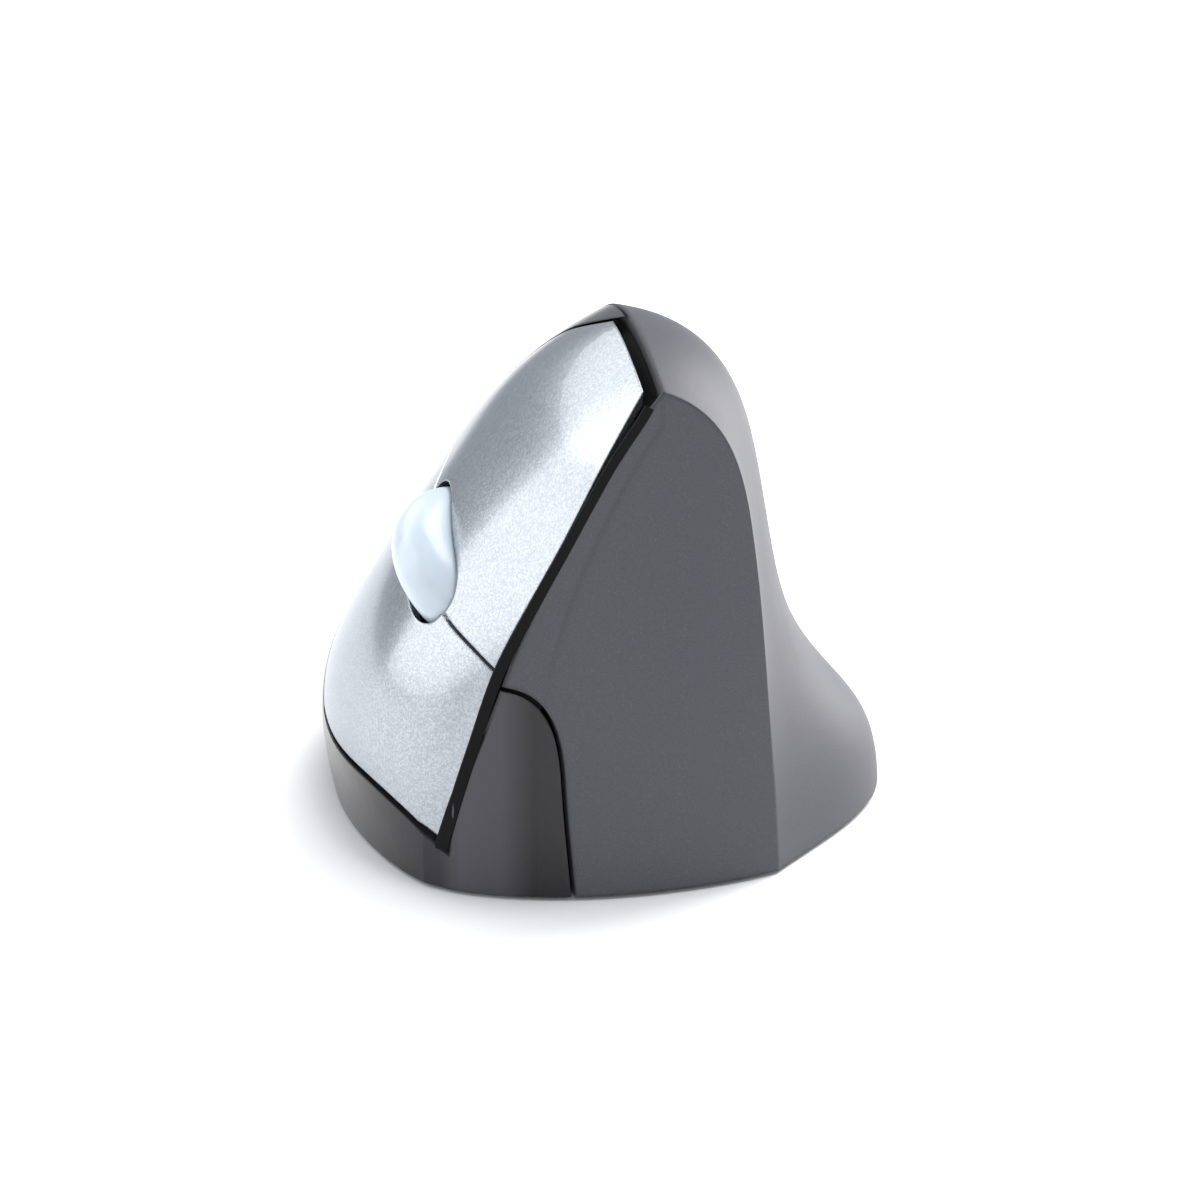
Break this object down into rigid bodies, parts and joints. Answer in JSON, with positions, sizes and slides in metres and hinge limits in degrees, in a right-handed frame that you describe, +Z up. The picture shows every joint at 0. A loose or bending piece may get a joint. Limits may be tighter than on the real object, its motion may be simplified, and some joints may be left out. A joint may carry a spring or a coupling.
{
  "type": "computer mouse",
  "caption": "Right-handed vertical wireless computer mouse with silver finger buttons, barrel scroll wheel and thumb scoop.",
  "frame": {"origin": "on the table under the middle of the optical sensor window", "axes": "+Z up, +Y from the nose to the heel, finger buttons on the -X side and the thumb rest on +X"},
  "size_m": [0.0842, 0.1017, 0.0781],
  "materials": {
    "soft_touch_shell": "satin",
    "glossy_shell": "gloss",
    "metallic_button": "satin",
    "inner_black": "matt",
    "translucent_wheel": "satin",
    "wheel_hub": "gloss",
    "steel": "satin",
    "acetal": "satin",
    "circuit_board": "satin",
    "switch_case": "satin",
    "base_black": "matt",
    "glide_foot": "satin",
    "cell_wrap": "satin",
    "clear_plastic": "gloss",
    "flat_cable": "satin"
  },
  "bodies": {
    "casing": {"thumb_side_shell": "soft_touch_shell", "finger_side_shell": "glossy_shell", "button_frame": "inner_black", "button_board": "circuit_board", "index_microswitch": "switch_case", "lower_microswitch": "switch_case", "wheel_click_switch": "switch_case", "board_screws": "steel", "main_board": "circuit_board", "optical_sensor": "switch_case", "radio_chip": "switch_case", "power_switch": "switch_case", "board_feet_screws": "steel", "thumb_board": "circuit_board", "forward_button_microswitch": "switch_case", "back_button_microswitch": "switch_case", "base_plate": "base_black", "case_screws": "steel", "glide_feet": "glide_foot", "aa_battery": "cell_wrap", "contact_plate": "steel", "contact_spring": "steel", "sensor_lens": "clear_plastic", "button_flex": "flat_cable", "thumb_flex": "flat_cable"},
    "index_button": {"index_button": "metallic_button"},
    "lower_button": {"lower_button": "metallic_button"},
    "wheel_carrier": {"wheel_carrier": "acetal", "wheel_axle": "steel", "scroll_encoder": "switch_case"},
    "scroll_wheel": {"scroll_wheel_hub": "wheel_hub", "scroll_wheel_tyre": "translucent_wheel"},
    "forward_button": {"forward_button": "soft_touch_shell"},
    "back_button": {"back_button": "soft_touch_shell"},
    "power_slider": {"power_slider": "base_black"},
    "battery_door": {"battery_door": "base_black"}
  },
  "joints": [
    {"name": "index_press", "type": "hinge", "parent": "casing", "child": "index_button", "pos_m": [-0.01543, 0.00793, 0.05383], "axis": [0.4499, -0.4986, 0.7409], "range_deg": [0, 0.6], "stiffness_Nm_per_rad": 3, "springref_deg": -1.72},
    {"name": "lower_press", "type": "hinge", "parent": "casing", "child": "lower_button", "pos_m": [-0.01543, 0.00793, 0.05383], "axis": [0.4499, -0.4986, 0.7409], "range_deg": [0, 0.6], "stiffness_Nm_per_rad": 3, "springref_deg": -1.72},
    {"name": "wheel_click", "type": "slide", "parent": "casing", "child": "wheel_carrier", "axis": [0.8513, -0.0115, -0.5246], "range_m": [0, 0.0005], "stiffness_N_per_m": 600, "springref_m": -0.0005},
    {"name": "wheel_spin", "type": "hinge", "parent": "wheel_carrier", "child": "scroll_wheel", "pos_m": [-0.02107, -0.0181, 0.03973], "axis": [-0.4499, 0.4986, -0.7409], "continuous": true},
    {"name": "forward_press", "type": "slide", "parent": "casing", "child": "forward_button", "axis": [-1, 0, 0], "range_m": [0, 0.0005], "stiffness_N_per_m": 600, "springref_m": -0.0005},
    {"name": "back_press", "type": "slide", "parent": "casing", "child": "back_button", "axis": [-1, 0, 0], "range_m": [0, 0.0005], "stiffness_N_per_m": 600, "springref_m": -0.0005},
    {"name": "power_slide", "type": "slide", "parent": "casing", "child": "power_slider", "axis": [1, 0, 0], "range_m": [0, 0.002]},
    {"name": "battery_door_slide", "type": "slide", "parent": "casing", "child": "battery_door", "axis": [0, 1, 0], "range_m": [0, 0.004]}
  ]
}
